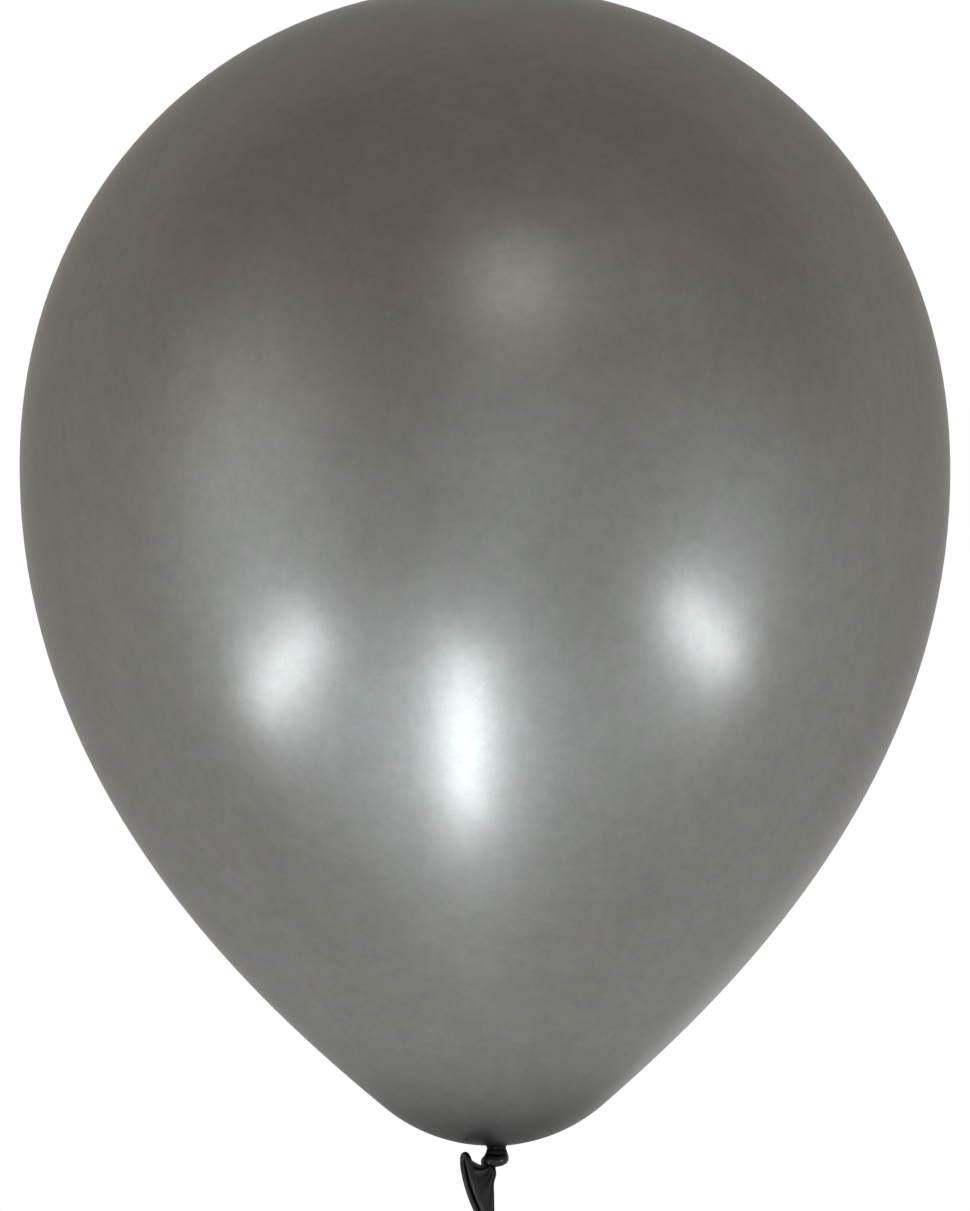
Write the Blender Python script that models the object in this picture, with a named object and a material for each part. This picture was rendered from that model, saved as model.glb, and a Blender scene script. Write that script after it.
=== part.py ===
"""A round party balloon of metallic latex, blown up and tied.

The balloon hangs in the air with its neck down, +Z up. The origin is in the neck, just under the
envelope, where a ribbon is tied round it. +X is to the right and -Y towards the viewer.
"""
import math

import bmesh
import bpy
import numpy as np
from mathutils import Vector

MM = 0.001
GAP = 0.3 * MM  # between neighbouring pieces, which are one skin in the real balloon

# Envelope: a full crown, long flanks and a round chin
DIAMETER = 300 * MM
CROWN_RISE = 155.5 * MM  # from the widest level up to the top
CROWN_FULLNESS = 2.07  # exponent of the crown's curve, where 2 is an ellipse
FLANK_DROP = 218.3 * MM  # from the widest level down to the chin
SHOULDER_HANDLE = 101.5 * MM  # how long the flank stays upright below the widest level
FLANK_HANDLE = 54.5 * MM  # how long it runs straight into the chin
CHIN_RADIUS = 54.7 * MM
CHIN_SWEEP = math.radians(40.4)  # how far up the round chin reaches, from its lowest point
CHIN_HEIGHT = 1.5 * MM  # the chin's lowest point above the origin
WALL = 0.4 * MM
AROUND = 44  # flats round the envelope
CROWN_RINGS = 11
FLANK_RINGS = 9
CHIN_RINGS = 6
FILLET_RINGS = 3

# Neck, between the chin and the knot
NECK_RADIUS = 3.05 * MM
NECK_FILLET = 1.0 * MM
NECK_BOTTOM = -0.6 * MM

# Knot: an overhand knot in the stretched neck
STRAND_PITCH = 2.65 * MM  # between the middles of strands that lie side by side
STRAND_RADIUS = 1.25 * MM
KNOT_LIFT = 0.75 * MM
KNOT_TURN = math.radians(200)
KNOT_END = 53  # the point of the strand's middle line at which the tail takes over
STRAND_SIDES = 10
NECK_SIDES = 20

# Tail: the flared end of the neck, with its mouth hanging flattened
MOUTH_TOP = Vector((-10.3, -7.4, -0.8)) * MM
MOUTH_BOTTOM = Vector((-1.4, -5.8, -26.2)) * MM
MOUTH_GAPE = 4.5 * MM  # across the slit, between the middles of the two lips
MOUTH_BOW = 2.0 * MM
MOUTH_ROUND = 1.4 * MM  # radius of the rounding at the slit's two ends
MOUTH_FLARE = 3.0  # how strongly those ends turn away from each other
TAIL_LEAD = 0.3  # share of the way over which the tail still runs on like the strand
TAIL_ARRIVAL = 0.4  # share of the way over which it runs straight out to its mouth
MOUTH_SIDE = Vector((0.7, -0.71, 0.0))  # from the far lip towards the near one
TAIL_WALL = 0.5 * MM
TAIL_POINTS = 32
TAIL_RINGS = 10
TAIL_SEAL = 3  # the ring from which the tail is hollow, counted from the knot
LIP_RADIUS = 0.85 * MM
LIP_SIDES = 8


def clear_scene():
    for obj in list(bpy.data.objects):
        bpy.data.objects.remove(obj)


def latex(name, colour, roughness, metallic):
    material = bpy.data.materials.new(name)
    material.use_nodes = True
    shader = material.node_tree.nodes["Principled BSDF"]
    shader.inputs["Base Color"].default_value = (*colour, 1)
    shader.inputs["Roughness"].default_value = roughness
    shader.inputs["Metallic"].default_value = metallic
    return material


def add_object(name, data, material):
    obj = bpy.data.objects.new(name, data)
    obj.data.materials.append(material)
    bpy.context.scene.collection.objects.link(obj)
    return obj


# Envelope


def bezier(points, share):
    a, b, c, d = points
    rest = 1 - share
    return rest**3 * a + 3 * rest**2 * share * b + 3 * rest * share**2 * c + share**3 * d


def envelope_outline():
    """(radius, height) down the outside of the envelope, from the top to the end of its neck."""
    radius = DIAMETER / 2
    widest = CHIN_HEIGHT + FLANK_DROP
    outline = []
    for step in range(CROWN_RINGS):
        rise = math.cos(math.pi / 2 * step / CROWN_RINGS)
        reach = (1 - rise**CROWN_FULLNESS) ** (1 / CROWN_FULLNESS)
        outline.append((radius * reach, widest + CROWN_RISE * rise))

    middle = CHIN_HEIGHT + CHIN_RADIUS
    joins = np.array((CHIN_RADIUS * math.sin(CHIN_SWEEP), middle - CHIN_RADIUS * math.cos(CHIN_SWEEP)))
    along = np.array((math.cos(CHIN_SWEEP), math.sin(CHIN_SWEEP)))
    top = np.array((radius, widest))
    handles = (top, top - (0, SHOULDER_HANDLE), joins + FLANK_HANDLE * along, joins)
    outline += [tuple(bezier(handles, step / FLANK_RINGS)) for step in range(FLANK_RINGS)]

    fillet_start = NECK_RADIUS + NECK_FILLET
    last = math.asin(fillet_start / CHIN_RADIUS)
    for step in range(CHIN_RINGS + 1):
        angle = CHIN_SWEEP + (last - CHIN_SWEEP) * step / CHIN_RINGS
        outline.append((CHIN_RADIUS * math.sin(angle), middle - CHIN_RADIUS * math.cos(angle)))
    level = outline[-1][1]
    for step in range(1, FILLET_RINGS + 1):
        angle = math.pi / 2 * step / FILLET_RINGS
        across, down = math.sin(angle), 1 - math.cos(angle)
        outline.append((fillet_start - NECK_FILLET * across, level - NECK_FILLET * down))
    return outline


def build_envelope(material):
    outline = envelope_outline()
    mesh = bpy.data.meshes.new("envelope")
    mesh.from_pydata([(r, 0, z) for r, z in outline], [(i, i + 1) for i in range(len(outline) - 1)], [])
    envelope = add_object("envelope", mesh, material)
    turned = envelope.modifiers.new("turned", "SCREW")
    turned.steps = turned.render_steps = AROUND
    turned.use_merge_vertices = True
    turned.merge_threshold = 0.00005
    turned.use_smooth_shade = True
    skin = envelope.modifiers.new("skin", "SOLIDIFY")
    skin.thickness = WALL
    skin.offset = -1
    return outline[-1][1]


# Neck and knot


def evenly(points, count=None):
    """The same path with its points a like distance apart."""
    steps = np.linalg.norm(np.diff(points, axis=0), axis=1)
    reached = np.concatenate([[0], np.cumsum(steps)])
    places = np.linspace(0, reached[-1], count or len(points))
    return np.stack([np.interp(places, reached, points[:, axis]) for axis in range(3)], axis=1)


def tight_overhand_knot(points=64, rounds=260, drawing=150, reach=3.4, tension=0.35):
    """The middle line of an overhand knot pulled tight, in strand widths, with its neck along +Z.

    A loose knot starts as a polynomial curve. Each round shortens it and pushes apart the strands
    that lie closer than one strand width, while its two ends are drawn to their places.
    """
    t = np.linspace(-2.1, 2.1, points)
    path = evenly(np.stack([t**3 - 3 * t, t**4 - 4 * t**2, (t**5 - 10 * t) / 5], axis=1))
    path = (path - path.mean(axis=0)) * 1.6
    loose_ends = path[[0, -1]].copy()
    drawn_ends = np.array([(0, 0, -reach), (0, 0, reach)])
    first, second = np.triu_indices(points, 1)
    for number in range(rounds):
        share = min(1, number / drawing)
        path[[0, -1]] = loose_ends * (1 - share) + drawn_ends * share
        for _ in range(3):
            path[1:-1] += tension * ((path[:-2] + path[2:]) / 2 - path[1:-1])
        path = evenly(path)
        spacing = np.linalg.norm(np.diff(path, axis=0), axis=1).mean()
        apart = second - first >= math.ceil(1.6 / spacing)
        for _ in range(12):
            across = path[second[apart]] - path[first[apart]]
            distance = np.linalg.norm(across, axis=1)
            push = across * (np.maximum(0, 1 - distance) / 2 / distance)[:, None]
            touching = distance < 1
            moved, hits = np.zeros_like(path), np.zeros(points)
            np.add.at(moved, first[apart], -push)
            np.add.at(moved, second[apart], push)
            np.add.at(hits, first[apart], touching)
            np.add.at(hits, second[apart], touching)
            path[1:-1] += (1.3 * moved / np.maximum(1, hits)[:, None])[1:-1]
    path[:, 0] *= -1
    return path[::-1]


def turned_upright(path, lead=8):
    """The path moved and turned so that its first stretch runs straight down through the origin."""
    start = Vector(path[0] - path[lead]).normalized()
    upright = np.array(start.rotation_difference(Vector((0, 0, 1))).to_matrix())
    cos, sin = math.cos(KNOT_TURN), math.sin(KNOT_TURN)
    about_neck = np.array(((cos, -sin, 0), (sin, cos, 0), (0, 0, 1)))
    return (path - path[lead]) @ (about_neck @ upright).T


def strand_path():
    """The middle line of the neck's strand, from high inside the neck to where the tail begins."""
    path = turned_upright(tight_overhand_knot()) * STRAND_PITCH
    path[:, 2] += KNOT_LIFT
    return path


def strand(name, points, radii, sides, material):
    curve = bpy.data.curves.new(name, "CURVE")
    curve.dimensions = "3D"
    curve.bevel_depth = 1
    curve.bevel_resolution = sides // 2 - 2
    curve.use_fill_caps = True
    spline = curve.splines.new("POLY")
    spline.points.add(len(points) - 1)
    for point, place, radius in zip(spline.points, points, radii):
        point.co = (*place, 1)
        point.radius = radius
    return add_object(name, curve, material)


def build_neck(material, collar_end):
    points = [(0, 0, collar_end - GAP), (0, 0, NECK_BOTTOM)]
    strand("neck", points, [NECK_RADIUS, STRAND_RADIUS], NECK_SIDES, material)


def build_knot(material, path):
    """Sweeps the strand from the neck to the point where the tail takes over."""
    top = NECK_BOTTOM - GAP
    first = int(np.argmax(path[:, 2] < top - 2 * GAP))
    points = [(0, 0, top), (0, 0, top - GAP), *path[first : KNOT_END + 1]]
    strand("knot", points, [STRAND_RADIUS] * len(points), STRAND_SIDES, material)


# Tail and lip


def mouth_frame():
    """(long axis, side axis, outward axis) of the flattened mouth."""
    length = (MOUTH_BOTTOM - MOUTH_TOP).normalized()
    side = (MOUTH_SIDE - MOUTH_SIDE.dot(length) * length).normalized()
    return length, side, length.cross(side)


def mouth_point(angle, inset=0.0, back=0.0):
    """A point of the mouth's flattened ring. inset is towards the slit and back towards the knot."""
    length, side, outward = mouth_frame()
    middle = (MOUTH_TOP + MOUTH_BOTTOM) / 2
    half = (MOUTH_BOTTOM - MOUTH_TOP).length / 2
    long, wide = half - MOUTH_ROUND, MOUTH_GAPE / 2 - MOUTH_ROUND
    turn = angle - 0.35 * math.sin(2 * angle)
    rounding = Vector((wide * math.cos(turn), long * math.sin(turn))).normalized() * (MOUTH_ROUND - inset)
    along = long * math.cos(turn) + rounding.x
    across = wide * math.sin(turn) + rounding.y
    bow = MOUTH_BOW * (1 - (along / half) ** 2) - back
    return middle + length * along + side * across + outward * bow


def exit_point(angle, start, direction, radius):
    """A point of the strand's round end, where the tail starts."""
    length, side, _ = mouth_frame()
    down = (length - length.dot(direction) * direction).normalized()
    across = direction.cross(down)
    if across.dot(side) < 0:
        across = -across
    return start + radius * (down * math.cos(angle) + across * math.sin(angle))


def tail_ring(share, start, direction, inset):
    """One ring of the tail, at a share of the way from the knot to the mouth."""
    length, _, outward = mouth_frame()
    ring = []
    for step in range(TAIL_POINTS):
        angle = 2 * math.pi * step / TAIL_POINTS
        near = exit_point(angle, start, direction, STRAND_RADIUS - inset)
        far = mouth_point(angle, inset, GAP + LIP_RADIUS)
        reach = (far - near).length
        arrival = (outward + length * (MOUTH_FLARE * math.cos(angle))).normalized()
        lead, run_out = direction * reach * TAIL_LEAD, arrival * reach * TAIL_ARRIVAL
        handles = (near, near + lead, far - run_out, far)
        ring.append(bezier(handles, share))
    return ring


def build_tail(material, start, direction):
    mesh = bmesh.new()
    shares = [step / TAIL_RINGS for step in range(TAIL_RINGS + 1)]
    rings = [tail_ring(share, start, direction, 0) for share in shares]
    rings += [tail_ring(share, start, direction, TAIL_WALL) for share in reversed(shares[TAIL_SEAL:])]
    loops = [[mesh.verts.new(point) for point in ring] for ring in rings]
    mesh.faces.new(loops[0])
    mesh.faces.new(reversed(loops[-1]))
    for one, other in zip(loops, loops[1:]):
        for i in range(TAIL_POINTS):
            j = (i + 1) % TAIL_POINTS
            mesh.faces.new((one[i], one[j], other[j], other[i]))
    bmesh.ops.recalc_face_normals(mesh, faces=mesh.faces)
    data = bpy.data.meshes.new("tail")
    mesh.to_mesh(data)
    mesh.free()
    data.shade_smooth()
    add_object("tail", data, material)


def build_lip(material):
    points = [mouth_point(2 * math.pi * step / TAIL_POINTS) for step in range(TAIL_POINTS)]
    lip = strand("lip_bead", points, [LIP_RADIUS] * TAIL_POINTS, LIP_SIDES, material)
    lip.data.splines[0].use_cyclic_u = True
    lip.data.use_fill_caps = False


def build_balloon():
    stretched = latex("stretched_latex", (0.19, 0.19, 0.175), 0.33, 0.8)
    slack = latex("slack_latex", (0.012, 0.013, 0.013), 0.3, 0.3)
    collar_end = build_envelope(stretched)
    build_neck(slack, collar_end)
    path = strand_path()
    build_knot(slack, path)
    direction = Vector(path[KNOT_END] - path[KNOT_END - 1]).normalized()
    build_tail(slack, Vector(path[KNOT_END]) + GAP * direction, direction)
    build_lip(slack)


clear_scene()
build_balloon()
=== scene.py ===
"""Party balloon: the finished skin, knot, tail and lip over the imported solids, with a small studio.

The balloon hangs in the air with its neck down. The origin is in the neck, just under the
envelope. +Z is up, +X is to the right and -Y is towards the viewer. Lengths are in metres.
"""
import math

import bpy
import numpy as np
from bpy.props import FloatProperty, FloatVectorProperty, IntProperty, PointerProperty
from mathutils import Matrix, Vector


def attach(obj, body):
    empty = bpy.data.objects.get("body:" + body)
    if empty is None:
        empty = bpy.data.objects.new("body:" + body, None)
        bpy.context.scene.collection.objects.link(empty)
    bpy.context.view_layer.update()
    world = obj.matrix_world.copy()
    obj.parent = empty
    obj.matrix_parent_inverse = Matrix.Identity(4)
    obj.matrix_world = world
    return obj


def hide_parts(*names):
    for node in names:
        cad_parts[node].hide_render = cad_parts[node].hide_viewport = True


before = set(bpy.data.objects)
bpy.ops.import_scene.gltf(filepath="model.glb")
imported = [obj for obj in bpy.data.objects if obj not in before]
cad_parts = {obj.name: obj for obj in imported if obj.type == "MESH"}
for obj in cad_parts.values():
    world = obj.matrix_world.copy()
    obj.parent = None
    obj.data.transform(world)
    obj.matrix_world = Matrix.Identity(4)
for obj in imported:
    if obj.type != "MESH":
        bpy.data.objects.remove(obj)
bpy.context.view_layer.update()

bl_info = {
    "name": "Party Balloon",
    "version": (1, 0, 0),
    "blender": (4, 5, 0),
    "location": "View3D > Sidebar > Balloon",
    "description": "Builds a tied latex party balloon and its studio",
    "category": "Object",
}

MM = 0.001
BODY = "root"
FULL_TURN = 2 * math.pi


# Settings


def number(name, description, value, **kind):
    return FloatProperty(name=name, description=description, default=value, **kind)


def length(name, description, millimetres):
    return number(name, description, millimetres * MM, unit="LENGTH", precision=5)


def degrees(name, description, value):
    return number(name, description, math.radians(value), subtype="ANGLE")


def factor(name, description, value):
    return number(name, description, value, subtype="FACTOR")


def power(name, description, watts):
    return number(name, description, watts, unit="POWER")


def point(name, description, millimetres):
    return FloatVectorProperty(
        name=name,
        description=description,
        default=[part * MM for part in millimetres],
        subtype="XYZ",
        unit="LENGTH",
    )


def colour(name, description, value):
    return FloatVectorProperty(
        name=name,
        description=description,
        default=value,
        subtype="COLOR",
        min=0,
        max=1,
    )


class EnvelopeSettings(bpy.types.PropertyGroup):
    diameter: length("Diameter", "Width of the blown-up envelope", 300)
    crown_rise: length("Crown rise", "Height of the crown above the widest level", 155.5)
    crown_fullness: number("Crown fullness", "Exponent of the crown's curve, where 2 is an ellipse", 2.07)
    flank_drop: length("Flank drop", "Height from the chin up to the widest level", 218.3)
    shoulder: length("Shoulder", "How long the flank stays upright below the widest level", 101.5)
    straight: length("Straight", "How long the flank runs straight into the chin", 54.5)
    chin_radius: length("Chin radius", "Radius of the round chin", 54.7)
    chin_sweep: degrees("Chin sweep", "How far up the round chin reaches, from its lowest point", 40.4)
    chin_height: length("Chin height", "Height of the chin above the origin", 1.5)
    wall: length("Wall", "Thickness of the skin", 0.25)
    stretched: colour("Stretched latex", "Pearly grey of the blown-up skin", (0.313, 0.314, 0.297))
    slack: colour("Slack latex", "Colour of the latex where it isn't stretched", (0.012, 0.013, 0.013))


class NeckSettings(bpy.types.PropertyGroup):
    radius: length("Radius", "Radius of the neck under the chin", 3.05)
    fillet: length("Fillet", "Radius with which the chin runs into the neck", 1.0)
    strand: length("Strand radius", "Radius of the strand that the neck is drawn into", 1.4)
    bottom: length("Bottom", "Height at which the neck has become the strand", -1.7)
    wall: length("Wall", "Thickness of the gathered skin", 0.12)
    gathers: IntProperty(name="Gathers", description="Folds round the neck and in the chin", default=9)
    depth: length("Fold depth", "Depth of the folds in the neck", 0.3)
    pucker: length("Pucker depth", "Depth of the creases that run from the neck into the chin", 0.12)


class KnotSettings(bpy.types.PropertyGroup):
    pitch: length("Pitch", "Distance between the middles of strands side by side", 2.65)
    lift: length("Lift", "How far the knot is pushed up the neck", 0.75)
    turn: degrees("Turn", "Turn of the knot about the neck", 200)
    flattening: factor("Flattening", "How much a strand is pressed flat against the knot", 0.22)
    fullness: factor("Fullness", "How much the strand swells in the middle of the knot", 0.1)
    lobe: factor("Lobe", "How much fuller the strand is where it turns back on the right", 0.25)
    crease: length("Crease depth", "Depth of the folds along the strand", 0.14)
    aside: length("Aside", "How far right of the envelope's axis the neck and knot hang", 0.6)
    sag: length("Sag", "How far the strand that crosses in front is drawn down", 1.3)
    tuck: factor("Tuck", "How much the loop on the left is pressed in", 0.35)
    return_aside: length("Return", "How far back to the left the strand comes as it leaves the knot", 0.8)


class TailSettings(bpy.types.PropertyGroup):
    mouth_top: point("Mouth top", "Upper end of the flattened mouth", (-9.5, -7.4, -0.75))
    mouth_bottom: point("Mouth bottom", "Lower end of the flattened mouth", (-0.7, -5.8, -26.05))
    mouth_side: FloatVectorProperty(
        name="Mouth side",
        description="Direction from the far lip towards the near one",
        default=(0.55, -0.83, 0.0),
        subtype="DIRECTION",
    )
    gape: length("Gape", "Width of the slit between the middles of its lips", 4.4)
    bow: length("Bow", "How far the middle of the mouth stands out past its ends", 2.0)
    rounding: length("Rounding", "Radius at the two ends of the slit", 1.6)
    flare: number("Flare", "How strongly the two ends of the mouth turn away from each other", 3.0)
    wall: length("Wall", "Thickness of the slack skin", 0.22)
    pleat: length("Pleat depth", "Depth of the pleats that run out from the knot", 1.0)
    waist: length("Waist", "How far the right side is drawn in below the knot", 1.0)
    lip: length("Lip radius", "Radius of the rolled lip", 1.0)


class StudioSettings(bpy.types.PropertyGroup):
    floor_drop: length("Floor drop", "How far the floor lies below the neck", 1300)
    camera_distance: length("Camera distance", "From the lens to the balloon's axis", 2500)
    camera_height: length("Camera height", "Height of the lens above the origin", 175.9)
    camera_aside: length("Camera aside", "How far right of the balloon's axis the lens stands", -0.6)
    camera_roll: degrees("Camera roll", "Roll of the camera about its line of sight", 0.8)
    focal_length: number("Focal length", "Focal length of the camera in millimetres", 230.2)
    surroundings: number("Surroundings", "Brightness of the room that the skin reflects", 1)
    left_box: power("Left box", "Power of the left soft box", 1.06)
    strip_box: power("Strip box", "Power of the tall strip box", 1.63)
    right_box: power("Right box", "Power of the right soft box", 0.98)


# Modelling helpers


def deselect_all():
    if bpy.context.mode != "OBJECT":
        bpy.ops.object.mode_set(mode="OBJECT")
    bpy.ops.object.select_all(action="DESELECT")


def select_only(piece):
    deselect_all()
    piece.select_set(True)
    bpy.context.view_layer.objects.active = piece


def open_mesh(piece):
    """Opens the piece in edit mode with all of it selected."""
    select_only(piece)
    bpy.ops.object.mode_set(mode="EDIT")
    bpy.ops.mesh.select_all(action="SELECT")


def named(piece, name):
    piece.name = name
    piece.data.name = name
    return piece


def revolved(name, outline, steps):
    """Draws an outline of (radius, height) point by point and spins it round the balloon's axis."""
    deselect_all()
    start = (outline[0][0], 0, outline[0][1])
    bpy.ops.mesh.primitive_plane_add(size=MM, location=start)
    bpy.ops.object.transform_apply(location=True, rotation=False, scale=False)
    piece = named(bpy.context.object, name)
    open_mesh(piece)
    bpy.ops.mesh.merge(type="CENTER")
    for (radius, height), (next_radius, next_height) in zip(outline, outline[1:]):
        step = (next_radius - radius, 0, next_height - height)
        bpy.ops.mesh.extrude_vertices_move(TRANSFORM_OT_translate={"value": step})
    bpy.ops.mesh.select_all(action="SELECT")
    bpy.ops.mesh.spin(steps=steps, angle=FULL_TURN, center=(0, 0, 0), axis=(0, 0, 1))
    bpy.ops.mesh.select_all(action="SELECT")
    bpy.ops.mesh.remove_doubles(threshold=0.002 * MM)
    bpy.ops.mesh.normals_make_consistent(inside=False)
    bpy.ops.object.mode_set(mode="OBJECT")
    return piece


def straight_tube(name, sides, rings):
    """A tube of radius 1 that is extruded ring by ring along Z, one unit for each ring."""
    deselect_all()
    bpy.ops.mesh.primitive_circle_add(vertices=sides, radius=1, fill_type="NOTHING")
    piece = named(bpy.context.object, name)
    open_mesh(piece)
    for _ in range(rings):
        bpy.ops.mesh.extrude_region_move(TRANSFORM_OT_translate={"value": (0, 0, 1)})
    bpy.ops.object.mode_set(mode="OBJECT")
    return piece


def lay_along(piece, rings, width, run, place):
    """Moves each point of a straight tube to place(angle, share), and keeps where it was as its grain."""
    grain = piece.data.attributes.new("grain", "FLOAT_VECTOR", "POINT")
    for vertex, mark in zip(piece.data.vertices, grain.data):
        angle = math.atan2(vertex.co.y, vertex.co.x)
        share = vertex.co.z / rings
        mark.vector = (math.cos(angle) * width, math.sin(angle) * width, share * run)
        vertex.co = place(angle, share)
    piece.data.update()


def face_outwards(piece, close_ends=False):
    open_mesh(piece)
    if close_ends:
        bpy.ops.mesh.fill_holes(sides=0)
        bpy.ops.mesh.select_all(action="SELECT")
    bpy.ops.mesh.normals_make_consistent(inside=False)
    bpy.ops.object.mode_set(mode="OBJECT")


def give_wall(piece, thickness, even=False):
    """Thickens the piece inwards from its outer face."""
    select_only(piece)
    modifier = piece.modifiers.new("Wall", "SOLIDIFY")
    modifier.thickness = thickness
    modifier.offset = -1
    modifier.use_even_offset = even
    bpy.ops.object.modifier_apply(modifier=modifier.name)


def finish_piece(piece, material, slot, *nodes):
    """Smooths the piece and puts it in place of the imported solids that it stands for."""
    select_only(piece)
    bpy.ops.object.shade_smooth_by_angle(angle=math.radians(50))
    piece.data.materials.clear()
    piece.data.materials.append(material)
    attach(piece, BODY)
    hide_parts(*nodes)


# Shapes


def bell(value, middle, width):
    """1 at the middle, falling off smoothly to both sides."""
    return math.exp(-(((value - middle) / width) ** 2))


def ripple(angle):
    """A fold that goes from 0 to 1 and back in a full turn."""
    return 0.5 - 0.5 * math.cos(angle)


def bezier(points, share):
    a, b, c, d = points
    rest = 1 - share
    return rest**3 * a + 3 * rest**2 * share * b + 3 * rest * share**2 * c + share**3 * d


def envelope_outline(skin, neck, crown_rings=44, flank_rings=40, chin_rings=22, fillet_rings=6):
    """(radius, height) down the outside of the envelope, from the top to the end of its collar."""
    radius = skin.diameter / 2
    widest = skin.chin_height + skin.flank_drop
    outline = []
    for step in range(crown_rings):
        rise = math.cos(math.pi / 2 * step / crown_rings)
        reach = (1 - rise**skin.crown_fullness) ** (1 / skin.crown_fullness)
        outline.append((radius * reach, widest + skin.crown_rise * rise))

    middle = skin.chin_height + skin.chin_radius
    sine, cosine = math.sin(skin.chin_sweep), math.cos(skin.chin_sweep)
    joins = Vector((skin.chin_radius * sine, middle - skin.chin_radius * cosine))
    top = Vector((radius, widest))
    handles = (top, top - Vector((0, skin.shoulder)), joins + skin.straight * Vector((cosine, sine)), joins)
    outline += [tuple(bezier(handles, step / flank_rings)) for step in range(flank_rings)]

    fillet_start = neck.radius + neck.fillet
    last = math.asin(fillet_start / skin.chin_radius)
    for step in range(chin_rings + 1):
        angle = skin.chin_sweep + (last - skin.chin_sweep) * step / chin_rings
        outline.append((skin.chin_radius * math.sin(angle), middle - skin.chin_radius * math.cos(angle)))
    level = outline[-1][1]
    for step in range(1, fillet_rings + 1):
        angle = math.pi / 2 * step / fillet_rings
        across, down = math.sin(angle), 1 - math.cos(angle)
        outline.append((fillet_start - neck.fillet * across, level - neck.fillet * down))
    return outline


def gathers_at(neck, angle, share=0.0):
    """How deep the folds of the neck are at this angle, from 0 to 1."""
    return ripple(neck.gathers * angle + 1.2 * math.sin(angle) + 1.5 * share)


CREASES_REACH = 6 * MM  # height up to which the chin is creased and drawn aside


def pucker_chin(piece, neck, aside):
    """Draws the chin's middle aside with the neck, and presses creases into it that fade away."""
    for vertex in piece.data.vertices:
        past_neck = (vertex.co.xy.length - neck.radius) / MM
        if vertex.co.z > CREASES_REACH:
            continue
        vertex.co.x += aside * bell(max(0, past_neck), 0, 5)
        if past_neck < 0:
            continue
        angle = math.atan2(vertex.co.y, vertex.co.x - aside)
        fade = (1 - math.exp(-past_neck)) * math.exp(-past_neck / 3)
        fine = ripple(23 * angle + 2 * math.sin(2 * angle))
        vertex.co.z += neck.pucker * fade * (1.6 * gathers_at(neck, angle) + 0.6 * fine)
    piece.data.update()


def evenly(points, count):
    """The same path with its points a like distance apart."""
    steps = np.linalg.norm(np.diff(points, axis=0), axis=1)
    reached = np.concatenate([[0], np.cumsum(steps)])
    places = np.linspace(0, reached[-1], count)
    return np.stack([np.interp(places, reached, points[:, axis]) for axis in range(3)], axis=1)


def tight_overhand_knot(points=64, rounds=260, drawing=150, reach=3.4, tension=0.35):
    """The middle line of an overhand knot pulled tight, in strand widths, with its neck along +Z.

    A loose knot starts as a polynomial curve. Each round shortens it and pushes apart the strands
    that lie closer than one strand width, while its two ends are drawn to their places.
    """
    t = np.linspace(-2.1, 2.1, points)
    path = evenly(np.stack([t**3 - 3 * t, t**4 - 4 * t**2, (t**5 - 10 * t) / 5], axis=1), points)
    path = (path - path.mean(axis=0)) * 1.6
    loose_ends = path[[0, -1]].copy()
    drawn_ends = np.array([(0, 0, -reach), (0, 0, reach)])
    first, second = np.triu_indices(points, 1)
    for done in range(rounds):
        share = min(1, done / drawing)
        path[[0, -1]] = loose_ends * (1 - share) + drawn_ends * share
        for _ in range(3):
            path[1:-1] += tension * ((path[:-2] + path[2:]) / 2 - path[1:-1])
        path = evenly(path, points)
        spacing = np.linalg.norm(np.diff(path, axis=0), axis=1).mean()
        apart = second - first >= math.ceil(1.6 / spacing)
        for _ in range(12):
            across = path[second[apart]] - path[first[apart]]
            distance = np.linalg.norm(across, axis=1)
            push = across * (np.maximum(0, 1 - distance) / 2 / distance)[:, None]
            touching = distance < 1
            moved, hits = np.zeros_like(path), np.zeros(points)
            np.add.at(moved, first[apart], -push)
            np.add.at(moved, second[apart], push)
            np.add.at(hits, first[apart], touching)
            np.add.at(hits, second[apart], touching)
            path[1:-1] += (1.3 * moved / np.maximum(1, hits)[:, None])[1:-1]
    path[:, 0] *= -1
    return path[::-1]


# Places along the knot's middle line, as numbers of its points
NECK_POINT = 8
FRONT_CROSSING = 31.5
FRONT_SPREAD = 4.5
LAST_TURN = 44
KNOT_END = 53

LOOP_START = 2 * MM  # how far left of the neck the pressed-in part of the loop begins


def strand_path(knot):
    """The middle line of the neck's strand, from high inside the neck to past the knot."""
    path = tight_overhand_knot()
    start = Vector(path[0] - path[NECK_POINT]).normalized()
    upright = np.array(start.rotation_difference(Vector((0, 0, 1))).to_matrix())
    about_neck = np.array(Matrix.Rotation(knot.turn, 3, "Z"))
    path = (path - path[NECK_POINT]) @ (about_neck @ upright).T * knot.pitch
    path[:, 2] += knot.lift
    for index, place in enumerate(path):
        leaving = min(1, max(0, (index - LAST_TURN) / (KNOT_END - LAST_TURN)))
        place[2] -= knot.sag * bell(index, FRONT_CROSSING, FRONT_SPREAD)
        place[0] -= knot.tuck * min(0, place[0] + LOOP_START)
        place[0] += knot.aside - knot.return_aside * leaving
    return path


def knot_end(knot):
    """Where the strand leaves the knot, and in which direction."""
    path = strand_path(knot)
    return Vector(path[KNOT_END]), Vector(path[KNOT_END] - path[KNOT_END - 1]).normalized()


def rounded(points, count, passes=3):
    """A smooth path of count points through a coarse one."""
    for _ in range(passes):
        points = evenly(points, 2 * len(points))
        points[1:-1] = (points[:-2] + 2 * points[1:-1] + points[2:]) / 4
    return evenly(points, count)


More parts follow.
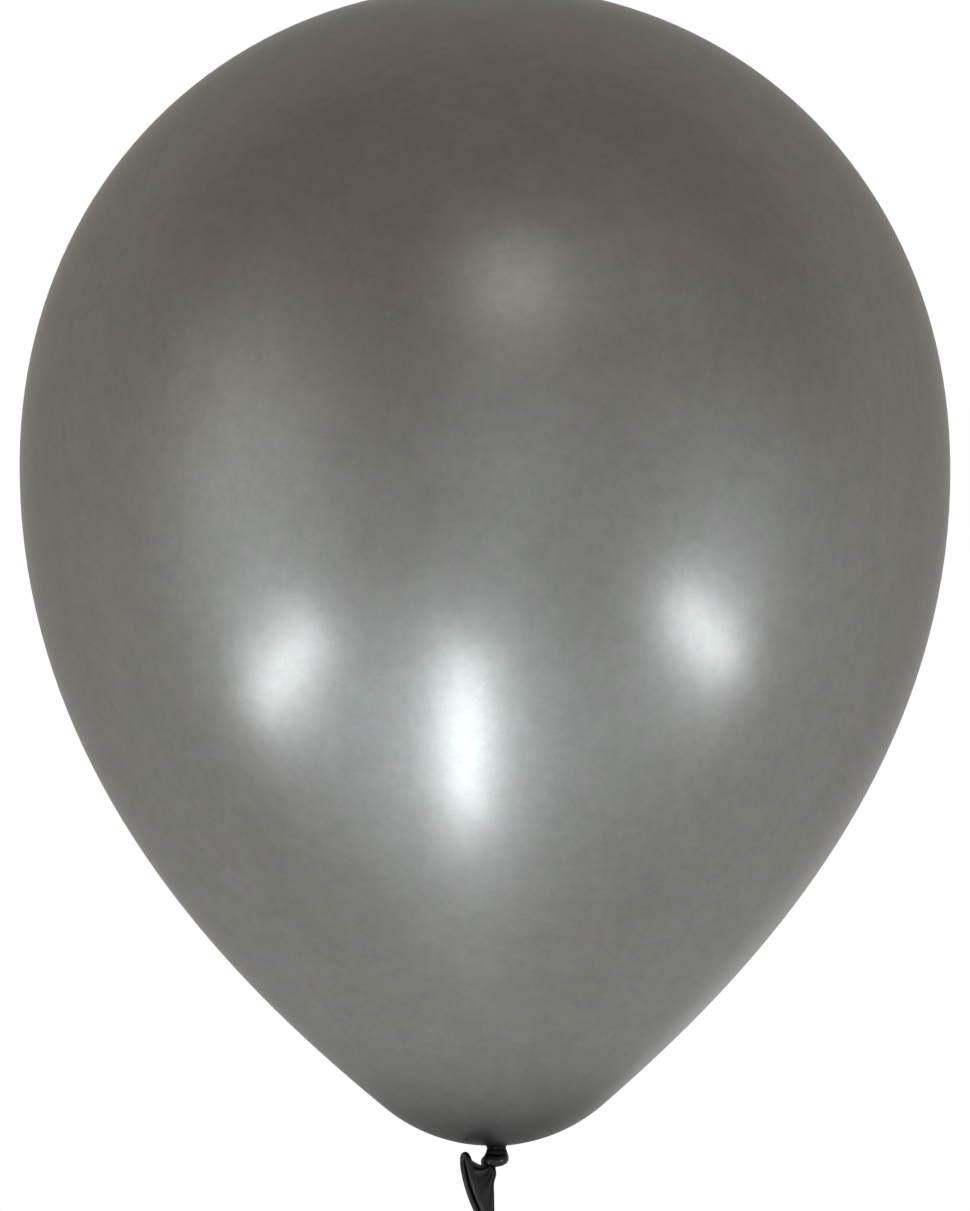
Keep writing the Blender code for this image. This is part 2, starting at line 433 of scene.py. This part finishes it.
def sections(path):
    """(place, along, two square directions) for each point of a path, with no sudden twist."""
    along = np.gradient(path, axis=0)
    along /= np.linalg.norm(along, axis=1)[:, None]
    across = Vector((1, 0, 0))
    found = []
    for place, direction in zip(path, along):
        direction = Vector(direction)
        across = (across - across.dot(direction) * direction).normalized()
        found.append((Vector(place), direction, across, direction.cross(across)))
    return found


def mouth_frame(tail):
    """(upper end, lower end, long axis, side axis, outward axis) of the flattened mouth."""
    top, bottom = Vector(tail.mouth_top), Vector(tail.mouth_bottom)
    long_axis = (bottom - top).normalized()
    side = Vector(tail.mouth_side)
    side = (side - side.dot(long_axis) * long_axis).normalized()
    return top, bottom, long_axis, side, long_axis.cross(side)


def mouth_point(tail, angle):
    """A point of the flattened ring in which the tail ends."""
    top, bottom, long_axis, side, outward = mouth_frame(tail)
    half = (bottom - top).length / 2
    straight, wide = half - tail.rounding, tail.gape / 2 - tail.rounding
    turn = angle - 0.35 * math.sin(2 * angle)
    corner = Vector((wide * math.cos(turn), straight * math.sin(turn))).normalized() * tail.rounding
    along = straight * math.cos(turn) + corner.x
    across = wide * math.sin(turn) + corner.y
    bow = tail.bow * (1 - (along / half) ** 2)
    return (top + bottom) / 2 + long_axis * along + side * across + outward * bow


# Node helpers


def new_material(name):
    material = bpy.data.materials.new(name)
    material.use_nodes = True
    return material, material.node_tree, material.node_tree.nodes["Principled BSDF"]


def wire(tree, node, values):
    """Sets or links a node's inputs by name or number."""
    for name, value in dict(values).items():
        if isinstance(value, bpy.types.NodeSocket):
            tree.links.new(value, node.inputs[name])
        else:
            node.inputs[name].default_value = value


def add_node(tree, kind, values=(), **settings):
    """Adds a node, makes its own settings, and sets or links its inputs."""
    node = tree.nodes.new(kind)
    for name, value in settings.items():
        setattr(node, name, value)
    wire(tree, node, values)
    return node


def math_node(tree, operation, *values):
    return add_node(tree, "ShaderNodeMath", dict(enumerate(values)), operation=operation).outputs[0]


def vector_node(tree, operation, *values):
    """The result of a sum on vectors, which is a plain number for a length or dot product."""
    node = add_node(tree, "ShaderNodeVectorMath", dict(enumerate(values)), operation=operation)
    return node.outputs["Value" if operation in ("LENGTH", "DOT_PRODUCT") else "Vector"]


def scaled(tree, vector, amount):
    return add_node(tree, "ShaderNodeVectorMath", {0: vector, "Scale": amount}, operation="SCALE").outputs[0]


def noise_node(tree, place, scale, detail, roughness=0.5):
    values = {"Vector": place, "Scale": scale, "Detail": detail, "Roughness": roughness}
    return add_node(tree, "ShaderNodeTexNoise", values).outputs[0]


def stretched_place(tree, place, stretch):
    """The same position with its Z scaled, so that a pattern on it is drawn out or pressed together."""
    return add_node(tree, "ShaderNodeMapping", {"Vector": place, "Scale": (1.0, 1.0, stretch)}).outputs[0]


def mixed_values(tree, share, low, high):
    return add_node(tree, "ShaderNodeMapRange", {"Value": share, "To Min": low, "To Max": high}).outputs[0]


def mixed_colours(tree, share, first, second):
    """A colour between two, each a plain colour or another node's output."""
    inputs = {0: share}
    for socket, part in ((6, first), (7, second)):
        inputs[socket] = part if isinstance(part, bpy.types.NodeSocket) else (*part, 1)
    return add_node(tree, "ShaderNodeMix", inputs, data_type="RGBA").outputs[2]


def tinted(base, tint):
    return tuple(part * change for part, change in zip(base, tint))


def new_group(name, inputs, outputs):
    """A node group with float and vector sockets, and its two end nodes."""
    group = bpy.data.node_groups.new(name, "ShaderNodeTree")
    for label, kind, value in inputs:
        socket = group.interface.new_socket(label, in_out="INPUT", socket_type=kind)
        if value is not None:
            socket.default_value = value
    for label, kind in outputs:
        group.interface.new_socket(label, in_out="OUTPUT", socket_type=kind)
    return group, group.nodes.new("NodeGroupInput"), group.nodes.new("NodeGroupOutput")


def group_node(tree, name, build, values):
    """Places a shared node group, which is built when it is first needed."""
    group = bpy.data.node_groups.get(name) or build(name)
    return add_node(tree, "ShaderNodeGroup", values, node_tree=group)


# Materials


def slackness_group(name):
    """How slack the latex is: 1 at the place's zero, and nearly 0 twice the reach away from it."""
    group, start, end = new_group(
        name,
        [("Place", "NodeSocketVector", None), ("Reach", "NodeSocketFloat", 0.04)],
        [("Slack", "NodeSocketFloat")],
    )
    far = vector_node(group, "LENGTH", start.outputs["Place"])
    share = math_node(group, "DIVIDE", far, start.outputs["Reach"])
    steep = math_node(group, "POWER", share, 2.3)
    slack = math_node(group, "EXPONENT", math_node(group, "MULTIPLY", steep, -1.0))
    group.links.new(slack, end.inputs["Slack"])
    return group


def mottle_group(name):
    """Cloudy tone, tiny specks and a fine grain over the latex, all from one position."""
    group, start, end = new_group(
        name,
        [
            ("Place", "NodeSocketVector", None),
            ("Clouds", "NodeSocketFloat", 0.05),
            ("Puffs", "NodeSocketFloat", 0.05),
            ("Streaks", "NodeSocketFloat", 0.02),
            ("Specks", "NodeSocketFloat", 0.5),
        ],
        [("Tone", "NodeSocketFloat"), ("Shift", "NodeSocketFloat"), ("Grain", "NodeSocketFloat")],
    )
    place = start.outputs["Place"]

    def swing(pattern, amount):
        """A pattern's departure from its middle, times one of the group's inputs."""
        off = math_node(group, "SUBTRACT", pattern, 0.5)
        return math_node(group, "MULTIPLY", off, start.outputs[amount])

    clouds = swing(noise_node(group, place, 75.0, 6.0, 0.75), "Clouds")
    puffs = swing(noise_node(group, place, 280.0, 3.0, 0.75), "Puffs")
    streaks = swing(noise_node(group, stretched_place(group, place, 5.0), 90.0, 4.0, 0.7), "Streaks")

    cells = add_node(group, "ShaderNodeTexVoronoi", {"Vector": place, "Scale": 700.0})
    spot = add_node(
        group,
        "ShaderNodeMapRange",
        {
            "Value": cells.outputs["Distance"],
            "From Min": 0.05,
            "From Max": 0.32,
            "To Min": 1.0,
            "To Max": 0.0,
        },
        interpolation_type="SMOOTHSTEP",
    )
    parts = add_node(group, "ShaderNodeSeparateColor", {0: cells.outputs["Color"]})
    chosen = math_node(group, "GREATER_THAN", parts.outputs[0], 0.9)
    speck = math_node(group, "MULTIPLY", spot.outputs[0], chosen)
    specks = math_node(group, "MULTIPLY", speck, swing(parts.outputs[1], "Specks"))

    tone = math_node(group, "ADD", clouds, 1.0)
    for change in (puffs, streaks, specks):
        tone = math_node(group, "ADD", tone, change)
    group.links.new(tone, end.inputs["Tone"])
    group.links.new(noise_node(group, place, 120.0, 3.0, 0.7), end.inputs["Shift"])
    group.links.new(noise_node(group, place, 1500.0, 2.0), end.inputs["Grain"])
    return group


CHIN_REACH = 44.5 * MM
TIP_REACH = 16 * MM
TIP_DARKNESS = 0.35
GREEN_SHIFT = (0.95, 1.015, 0.93)
VIOLET_SHIFT = (1.05, 0.985, 1.06)


def pearl_latex(skin, name="pearl_latex"):
    """Blown-up pearly latex, which darkens where it is thicker: the crown's tip, the chin and the neck."""
    material, tree, shader = new_material(name)
    place = add_node(tree, "ShaderNodeTexCoord").outputs["Object"]
    top = skin.chin_height + skin.flank_drop + skin.crown_rise
    from_top = vector_node(tree, "SUBTRACT", place, (0, 0, top))
    chin = group_node(tree, "Latex slackness", slackness_group, {"Place": place, "Reach": CHIN_REACH})
    tip = group_node(tree, "Latex slackness", slackness_group, {"Place": from_top, "Reach": TIP_REACH})
    amounts = {"Place": place, "Clouds": 0.32, "Puffs": 0.24, "Streaks": 0.04, "Specks": 0.45}
    mottle = group_node(tree, "Latex mottle", mottle_group, amounts)
    slack, grain = chin.outputs["Slack"], mottle.outputs["Grain"]

    green, violet = tinted(skin.stretched, GREEN_SHIFT), tinted(skin.stretched, VIOLET_SHIFT)
    pearl = mixed_colours(tree, mottle.outputs["Shift"], green, violet)
    at_tip = math_node(tree, "MULTIPLY", tip.outputs["Slack"], TIP_DARKNESS)
    base = mixed_colours(tree, slack, mixed_colours(tree, at_tip, pearl, skin.slack), skin.slack)
    duller = math_node(tree, "MULTIPLY", slack, 0.22)
    bump = add_node(tree, "ShaderNodeBump", {"Height": grain, "Distance": 0.02 * MM, "Strength": 0.3})
    wire(
        tree,
        shader,
        {
            "Base Color": scaled(tree, base, mottle.outputs["Tone"]),
            "Metallic": mixed_values(tree, slack, 0.92, 0.8),
            "Roughness": math_node(tree, "ADD", mixed_values(tree, grain, 0.26, 0.36), duller),
            "Specular IOR Level": 0.3,
            "Specular Tint": (0.6, 0.6, 0.6, 1),
            "Coat Weight": mixed_values(tree, slack, 0.08, 0.03),
            "Coat Roughness": 0.16,
            "Coat IOR": 1.4,
            "Normal": bump.outputs[0],
        },
    )
    return material


def slack_latex(skin, name, streaks):
    """Unstretched latex, nearly black and glossy, with fine lines along its grain."""
    material, tree, shader = new_material(name)
    grain = add_node(tree, "ShaderNodeAttribute", attribute_name="grain").outputs["Vector"]
    lines = noise_node(tree, stretched_place(tree, grain, streaks), 1600.0, 4.0, 0.6)
    amounts = {"Place": grain, "Clouds": 0.4, "Specks": 0.4}
    mottle = group_node(tree, "Latex mottle", mottle_group, amounts)
    pale = tinted(skin.slack, (1.8, 1.8, 1.8))
    base = mixed_colours(tree, lines, skin.slack, pale)
    bump = add_node(tree, "ShaderNodeBump", {"Height": lines, "Distance": 0.05 * MM, "Strength": 0.4})
    wire(
        tree,
        shader,
        {
            "Base Color": scaled(tree, base, mottle.outputs["Tone"]),
            "Metallic": 0.35,
            "Roughness": mixed_values(tree, mottle.outputs["Grain"], 0.28, 0.4),
            "Specular IOR Level": 0.2,
            "Coat Weight": 0.34,
            "Coat Roughness": 0.19,
            "Normal": bump.outputs[0],
        },
    )
    return material


# Pieces


class BALLOON_OT_envelope(bpy.types.Operator):
    """Spins the envelope's skin and gives it its wall"""

    bl_idname = "balloon.envelope"
    bl_label = "Envelope"

    def execute(self, context):
        skin, neck = context.scene.balloon_skin, context.scene.balloon_neck
        piece = revolved("envelope_skin", envelope_outline(skin, neck), steps=180)
        pucker_chin(piece, neck, context.scene.balloon_knot.aside)
        give_wall(piece, skin.wall, even=True)
        finish_piece(piece, pearl_latex(skin), "stretched_latex", "envelope")
        return {"FINISHED"}


NECK_SIDES, NECK_RINGS = 108, 28
NECK_PLAY = 0.02 * MM  # how far the gathered skin stands off the collar

# How the neck swells over the knot: (radius, height) in millimetres
NECK_SWELL = ((3.2, 0.3), (3.4, -0.2), (3.5, -0.7), (3.2, -1.2), (2.3, -1.5))


class BALLOON_OT_neck(bpy.types.Operator):
    """Gathers the neck from the chin down to the strand that is knotted"""

    bl_idname = "balloon.neck"
    bl_label = "Neck"

    def execute(self, context):
        scene = context.scene
        skin, neck, knot = scene.balloon_skin, scene.balloon_neck, scene.balloon_knot
        outline = envelope_outline(skin, neck)[-3:]
        outline += [(radius * MM, height * MM) for radius, height in NECK_SWELL]
        outline.append((neck.strand, neck.bottom))
        line = evenly(np.array([(radius, 0, height) for radius, height in outline]), 3 * NECK_RINGS)
        line = rounded(line, NECK_RINGS + 1)
        piece = straight_tube("neck_gather", NECK_SIDES, NECK_RINGS)

        def place(angle, share):
            radius, _, height = line[round(share * NECK_RINGS)]
            deepening = min(1, share / 0.45)
            fold = neck.depth * deepening * gathers_at(neck, angle, share) * radius / neck.radius
            radius += NECK_PLAY - fold
            return knot.aside + radius * math.cos(angle), radius * math.sin(angle), height

        lay_along(piece, NECK_RINGS, neck.radius, 6 * MM, place)
        face_outwards(piece)
        give_wall(piece, neck.wall)
        finish_piece(piece, pearl_latex(skin, "neck_latex"), "slack_latex", "neck")
        return {"FINISHED"}


KNOT_SIDES, KNOT_RINGS = 40, 132
RIGHT_TURN = 0.6  # share of the knot's strand at which it turns back on the right


class BALLOON_OT_knot(bpy.types.Operator):
    """Lays the strand of the neck along a tight overhand knot"""

    bl_idname = "balloon.knot"
    bl_label = "Knot"

    def execute(self, context):
        scene = context.scene
        skin, neck, knot = scene.balloon_skin, scene.balloon_neck, scene.balloon_knot
        path = strand_path(knot)
        end, direction = knot_end(knot)
        first = int(np.argmax(path[:, 2] < neck.bottom))
        points = [(knot.aside, 0, neck.bottom + rise * MM) for rise in (1, 0.5)]
        points += [*path[first : KNOT_END + 1], end + direction * 1.2 * MM]
        line = rounded(np.array(points, dtype=float), KNOT_RINGS + 1)
        spine = sections(line)
        middle = Vector(line[10:-10].mean(axis=0))
        piece = straight_tube("knot_strand", KNOT_SIDES, KNOT_RINGS)
        run = float(np.linalg.norm(np.diff(line, axis=0), axis=1).sum())

        def place(angle, share):
            centre, along, across, up = spine[round(share * KNOT_RINGS)]
            ray = across * math.cos(angle) + up * math.sin(angle)
            away = centre - middle
            away = (away - away.dot(along) * along).normalized()
            inside = max(0, math.sin(math.pi * share)) ** 0.5
            facing = away.dot(ray)
            radius = neck.strand * (1 + knot.flattening * inside * (1 - 2 * facing * facing))
            radius *= 1 + knot.fullness * inside + knot.lobe * bell(share, RIGHT_TURN, 0.1)
            twist = 5.0 * share
            wide = ripple(3 * angle + twist + 0.8 * math.sin(9 * share)) ** 3
            narrow = ripple(5 * angle - twist) ** 4
            return centre + ray * (radius - knot.crease * (wide + 0.5 * narrow))

        lay_along(piece, KNOT_RINGS, neck.strand, run, place)
        face_outwards(piece, close_ends=True)
        finish_piece(piece, slack_latex(skin, "knot_latex", 0.12), "slack_latex", "knot")
        return {"FINISHED"}


TAIL_SIDES, TAIL_RINGS = 144, 26
TAIL_PLAY = 0.06 * MM  # how far the tail stands off the strand that it starts from
WAIST_PLACE, WAIST_SPREAD = 0.17, 0.14  # shares of the way from the knot to the mouth


class BALLOON_OT_tail(bpy.types.Operator):
    """Flares the end of the neck out to its flattened mouth, with pleats"""

    bl_idname = "balloon.tail"
    bl_label = "Tail"

    def execute(self, context):
        scene = context.scene
        skin, neck = scene.balloon_skin, scene.balloon_neck
        knot, tail = scene.balloon_knot, scene.balloon_tail
        start, direction = knot_end(knot)
        _, _, long_axis, side, outward = mouth_frame(tail)
        down = (long_axis - long_axis.dot(direction) * direction).normalized()
        beside = direction.cross(down)
        beside = beside if beside.dot(side) > 0 else -beside
        piece = straight_tube("tail_flare", TAIL_SIDES, TAIL_RINGS)

        def place(angle, share):
            ray = down * math.cos(angle) + beside * math.sin(angle)
            near = start + ray * (neck.strand + TAIL_PLAY)
            far = mouth_point(tail, angle)
            reach = (far - near).length
            arrival = (outward + long_axis * (tail.flare * math.cos(angle))).normalized()
            handles = (near, near + direction * reach * 0.3, far - arrival * reach * 0.4, far)
            return bezier(handles, share)

        def pleat(angle, share):
            wide = 1.3 * abs(math.sin(5.5 * angle + 0.4 + 0.5 * share))
            narrow = 0.6 * abs(math.sin(9.5 * angle + 1 + share))
            average = 1.2
            fade = share**0.4 * (1 - share) ** 0.8
            waist = max(0, math.sin(angle)) ** 2 * bell(share, WAIST_PLACE, WAIST_SPREAD)
            return tail.pleat * (wide + narrow - average) * fade - tail.waist * waist

        shares = [(math.atan2(v.co.y, v.co.x), v.co.z / TAIL_RINGS) for v in piece.data.vertices]
        lay_along(piece, TAIL_RINGS, 2 * MM, 14 * MM, place)
        face_outwards(piece)
        normals = [v.normal.copy() for v in piece.data.vertices]
        for vertex, normal, (angle, share) in zip(piece.data.vertices, normals, shares):
            vertex.co += normal * pleat(angle, share)
        give_wall(piece, tail.wall)
        finish_piece(piece, slack_latex(skin, "tail_latex", 0.1), "slack_latex", "tail")
        return {"FINISHED"}


LIP_STEPS, LIP_SIDES = 120, 24
TORUS_RADIUS = 2


class BALLOON_OT_lip(bpy.types.Operator):
    """Lays the rolled lip round the mouth of the tail"""

    bl_idname = "balloon.lip"
    bl_label = "Rolled lip"

    def execute(self, context):
        skin, tail = context.scene.balloon_skin, context.scene.balloon_tail
        deselect_all()
        bpy.ops.mesh.primitive_torus_add(
            major_segments=LIP_STEPS, minor_segments=LIP_SIDES, major_radius=TORUS_RADIUS, minor_radius=1
        )
        piece = named(bpy.context.object, "rolled_lip")
        outward = mouth_frame(tail)[4]
        grain = piece.data.attributes.new("grain", "FLOAT_VECTOR", "POINT")
        for vertex, mark in zip(piece.data.vertices, grain.data):
            x, y, z = vertex.co
            around = math.atan2(y, x)
            angle = math.atan2(z, math.hypot(x, y) - TORUS_RADIUS)
            centre = mouth_point(tail, around)
            along = (mouth_point(tail, around + 0.01) - mouth_point(tail, around - 0.01)).normalized()
            front = (outward - outward.dot(along) * along).normalized()
            away = along.cross(front)
            uneven = 1 + 0.05 * math.sin(3 * around + 1) + 0.03 * math.sin(8 * around)
            groove = 0.13 * bell(angle, -2.2, 0.3)
            radius = tail.lip * (uneven - groove)
            mark.vector = (math.cos(angle) * tail.lip, math.sin(angle) * tail.lip, around * 9 * MM)
            vertex.co = centre + radius * (away * math.cos(angle) + front * math.sin(angle))
        piece.data.update()
        face_outwards(piece)
        finish_piece(piece, slack_latex(skin, "lip_latex", 0.15), "slack_latex", "lip_bead")
        return {"FINISHED"}


# Studio

FLOOR_RADIUS = 9

# The soft boxes: name, the spot on the skin that each faces, the azimuth and elevation in degrees
# from which it faces it, its width and height, and its roll in degrees.
SOFT_BOXES = (
    ("left_box", (-0.063, -0.126, 0.156), -58.3, -30.5, (0.08, 0.44), -68),
    ("strip_box", (-0.007, -0.132, 0.134), -8, -47, (0.09, 0.54), -5),
    ("right_box", (0.069, -0.125, 0.165), 60.2, -25.6, (0.06, 0.43), 69),
)
BOX_DISTANCE = 1
BOX_COLOUR = (0.96, 1, 1.08)

COOL = (0.85, 1, 1.12)
NEUTRAL = (1, 1, 1)
WARM_HAZE = (0.135, 0.095, 0.06)
CEILING_GAP = 0.07  # how much darker the unlit strip overhead is

# The bright parts of the room round the balloon: name, azimuth and elevation in degrees (azimuth 0
# is towards the camera and 90 to the right), degrees out to half brightness, brightness and tint.
GLOWS = (
    ("front wall", 0, 0, 57, 0.07, NEUTRAL),
    ("back wall", 180, -15, 99, 0.42, NEUTRAL),
    ("floor behind", 180, -50, 40, 0.28, COOL),
    ("floor in front", 0, -45, 30, 0.21, COOL),
    ("under the chin", -10, -72, 18, 0.05, NEUTRAL),
    ("spill above the left box", -67, -17, 13, 0.36, COOL),
    ("spill below the left box", -51, -44, 13, 0.36, COOL),
    ("spill above the right box", 69, -12, 13, 0.32, COOL),
    ("spill below the right box", 54, -40, 13, 0.32, COOL),
    ("spill of the strip box", -8, -47, 18, 0.83, COOL),
    ("small round lamp", 9, 38, 8.7, 1.12, NEUTRAL),
    ("left stand", -49, -7, 18, 0.32, COOL),
    ("right stand", 49, -6, 18, 0.3, COOL),
    ("left screen", -62, 10, 18, 0.38, NEUTRAL),
    ("high right screen", 46, 36, 16, 0.15, NEUTRAL),
    ("middle screen", 5, 0, 16, 0.4, COOL),
    ("left wall", -100, -20, 28, 0.1, COOL),
    ("right wall", 100, -20, 28, 0.17, COOL),
    ("high left wall", -113, 26, 25, 0.04, NEUTRAL),
    ("high right wall", 113, 26, 25, 0.04, NEUTRAL),
    ("window behind", 168, -22, 10, 0.6, NEUTRAL),
    ("ceiling", 180, 82, 12, 0.05, NEUTRAL),
)


def aim(azimuth, elevation):
    """The direction at an azimuth and elevation in degrees, seen from the balloon."""
    azimuth, elevation = math.radians(azimuth), math.radians(elevation)
    level = math.cos(elevation)
    return Vector((math.sin(azimuth) * level, -math.cos(azimuth) * level, math.sin(elevation)))


def add_soft_box(name, spot, azimuth, elevation, size, roll, watts):
    """An area light that faces a spot on the skin and is turned by its roll."""
    light = bpy.data.lights.new(name, "AREA")
    light.shape = "RECTANGLE"
    light.size, light.size_y = size
    light.energy = watts
    light.color = BOX_COLOUR
    box = bpy.data.objects.new(name, light)
    away = aim(azimuth, elevation)
    box.location = Vector(spot) + away * BOX_DISTANCE
    turn = away.to_track_quat("Z", "Y").to_matrix() @ Matrix.Rotation(math.radians(roll), 3, "Z")
    box.rotation_euler = turn.to_euler()
    box.visible_camera = False
    bpy.context.scene.collection.objects.link(box)


def pale_floor():
    """Pale paper that runs out into pure white, and can be looked through from below."""
    material, tree, shader = new_material("pale_floor")
    place = add_node(tree, "ShaderNodeTexCoord").outputs["Object"]
    far = vector_node(tree, "LENGTH", vector_node(tree, "MULTIPLY", place, (1, 1, 0)))
    out = add_node(
        tree,
        "ShaderNodeMapRange",
        {"Value": far, "From Min": 1.5, "From Max": 8.0},
        interpolation_type="SMOOTHSTEP",
    )
    pale = mixed_values(tree, noise_node(tree, place, 3.0, 4.0), 0.42, 0.48)
    lit = add_node(tree, "ShaderNodeMix", {0: out.outputs[0], 2: pale, 3: 0.0})
    wire(
        tree,
        shader,
        {
            "Base Color": lit.outputs[0],
            "Emission Color": mixed_values(tree, out.outputs[0], 0.62, 1.0),
            "Emission Strength": 1,
            "Roughness": 1,
            "Specular IOR Level": 0,
        },
    )
    below = add_node(tree, "ShaderNodeNewGeometry").outputs["Backfacing"]
    clear = add_node(tree, "ShaderNodeBsdfTransparent")
    both = add_node(tree, "ShaderNodeMixShader", {0: below, 1: shader.outputs[0], 2: clear.outputs[0]})
    tree.links.new(both.outputs[0], tree.nodes["Material Output"].inputs["Surface"])
    return material


def soft_glow_group(name):
    """Light from round one direction, which fades with the angle from it."""
    group, start, end = new_group(
        name,
        [
            ("Direction", "NodeSocketVector", None),
            ("Towards", "NodeSocketVector", None),
            ("Sharpness", "NodeSocketFloat", 10.0),
            ("Light", "NodeSocketVector", None),
        ],
        [("Glow", "NodeSocketVector")],
    )
    facing = vector_node(group, "DOT_PRODUCT", start.outputs["Direction"], start.outputs["Towards"])
    off = math_node(group, "SUBTRACT", facing, 1.0)
    fade = math_node(group, "EXPONENT", math_node(group, "MULTIPLY", off, start.outputs["Sharpness"]))
    group.links.new(scaled(group, start.outputs["Light"], fade), end.inputs["Glow"])
    return group


def ceiling_gap(tree, direction):
    """The unlit strip overhead, between the lamps in front and the wall behind."""
    parts = add_node(tree, "ShaderNodeSeparateXYZ", {0: direction})
    off = math_node(tree, "SUBTRACT", parts.outputs["Y"], 0.12)
    square = math_node(tree, "POWER", math_node(tree, "MULTIPLY", off, 4.0), 2.0)
    strip = math_node(tree, "EXPONENT", math_node(tree, "MULTIPLY", square, -1.0))
    overhead = add_node(
        tree,
        "ShaderNodeMapRange",
        {"Value": parts.outputs["Z"], "From Min": -0.2, "From Max": 0.6, "To Max": CEILING_GAP},
        interpolation_type="SMOOTHSTEP",
    )
    return math_node(tree, "MULTIPLY", strip, overhead.outputs[0])


def set_surroundings(studio):
    """A white studio: pure white to the camera, and a dimmer room in the balloon's reflections."""
    world = bpy.data.worlds.new("white_studio")
    world.use_nodes = True
    tree = world.node_tree
    direction = add_node(tree, "ShaderNodeTexCoord").outputs["Generated"]
    total = vector_node(tree, "ADD", WARM_HAZE)
    for label, azimuth, elevation, spread, brightness, tint in GLOWS:
        values = {
            "Direction": direction,
            "Towards": aim(azimuth, elevation),
            "Sharpness": math.log(2) / (1 - math.cos(math.radians(spread))),
            "Light": [brightness * part for part in tint],
        }
        glow = group_node(tree, "Soft glow", soft_glow_group, values)
        glow.label = label
        total = vector_node(tree, "ADD", total, glow.outputs["Glow"])
    darker = vector_node(tree, "SUBTRACT", total, ceiling_gap(tree, direction))
    kept = vector_node(tree, "MAXIMUM", darker, (0, 0, 0))
    room = add_node(tree, "ShaderNodeBackground", {"Color": kept, "Strength": studio.surroundings})
    white = tree.nodes["Background"]
    white.inputs["Color"].default_value = (1, 1, 1, 1)
    seen = add_node(tree, "ShaderNodeLightPath").outputs["Is Camera Ray"]
    both = add_node(tree, "ShaderNodeMixShader", {0: seen, 1: room.outputs[0], 2: white.outputs[0]})
    tree.links.new(both.outputs[0], tree.nodes["World Output"].inputs["Surface"])
    bpy.context.scene.world = world
    bpy.context.scene.view_settings.view_transform = "Standard"


def set_camera(studio):
    data = bpy.data.cameras.new("camera")
    data.lens = studio.focal_length
    data.sensor_width = 36
    data.clip_start, data.clip_end = 0.1, 100
    camera = bpy.data.objects.new("camera", data)
    camera.location = (studio.camera_aside, -studio.camera_distance, studio.camera_height)
    level = Matrix.Rotation(math.pi / 2, 3, "X")
    roll = Matrix.Rotation(studio.camera_roll, 3, "Y")
    camera.rotation_euler = (roll @ level).to_euler()
    bpy.context.scene.collection.objects.link(camera)
    bpy.context.scene.camera = camera


class BALLOON_OT_stage(bpy.types.Operator):
    """Lays the pale floor and sets the studio's lights and camera"""

    bl_idname = "balloon.stage"
    bl_label = "Studio"

    def execute(self, context):
        studio = context.scene.balloon_studio
        deselect_all()
        bpy.ops.mesh.primitive_circle_add(
            vertices=64, radius=FLOOR_RADIUS, fill_type="NGON", location=(0, 0, -studio.floor_drop)
        )
        floor = named(bpy.context.object, "floor")
        floor.data.materials.append(pale_floor())
        floor.visible_glossy = False
        floor.visible_diffuse = False
        set_surroundings(studio)
        for name, spot, azimuth, elevation, size, roll in SOFT_BOXES:
            add_soft_box(name, spot, azimuth, elevation, size, roll, getattr(studio, name))
        set_camera(studio)
        return {"FINISHED"}


# Panel and start

STEPS = ("balloon.envelope", "balloon.neck", "balloon.knot", "balloon.tail", "balloon.lip", "balloon.stage")
GROUPS = {
    "balloon_skin": EnvelopeSettings,
    "balloon_neck": NeckSettings,
    "balloon_knot": KnotSettings,
    "balloon_tail": TailSettings,
    "balloon_studio": StudioSettings,
}


class BALLOON_PT_panel(bpy.types.Panel):
    """The balloon's sizes, colours and building steps"""

    bl_label = "Party balloon"
    bl_idname = "BALLOON_PT_panel"
    bl_space_type = "VIEW_3D"
    bl_region_type = "UI"
    bl_category = "Balloon"

    def draw(self, context):
        for group in GROUPS:
            box = self.layout.box()
            settings = getattr(context.scene, group)
            for name in settings.__annotations__:
                box.prop(settings, name)
        for step in STEPS:
            self.layout.operator(step)


CLASSES = (
    *GROUPS.values(),
    BALLOON_OT_envelope,
    BALLOON_OT_neck,
    BALLOON_OT_knot,
    BALLOON_OT_tail,
    BALLOON_OT_lip,
    BALLOON_OT_stage,
    BALLOON_PT_panel,
)


def register():
    for item in CLASSES:
        bpy.utils.register_class(item)
    for name, group in GROUPS.items():
        setattr(bpy.types.Scene, name, PointerProperty(type=group))


def unregister():
    for name in GROUPS:
        delattr(bpy.types.Scene, name)
    for item in reversed(CLASSES):
        bpy.utils.unregister_class(item)


def main():
    register()
    bpy.ops.balloon.envelope()
    bpy.ops.balloon.neck()
    bpy.ops.balloon.knot()
    bpy.ops.balloon.tail()
    bpy.ops.balloon.lip()
    bpy.ops.balloon.stage()


if __name__ == "__main__":
    main()
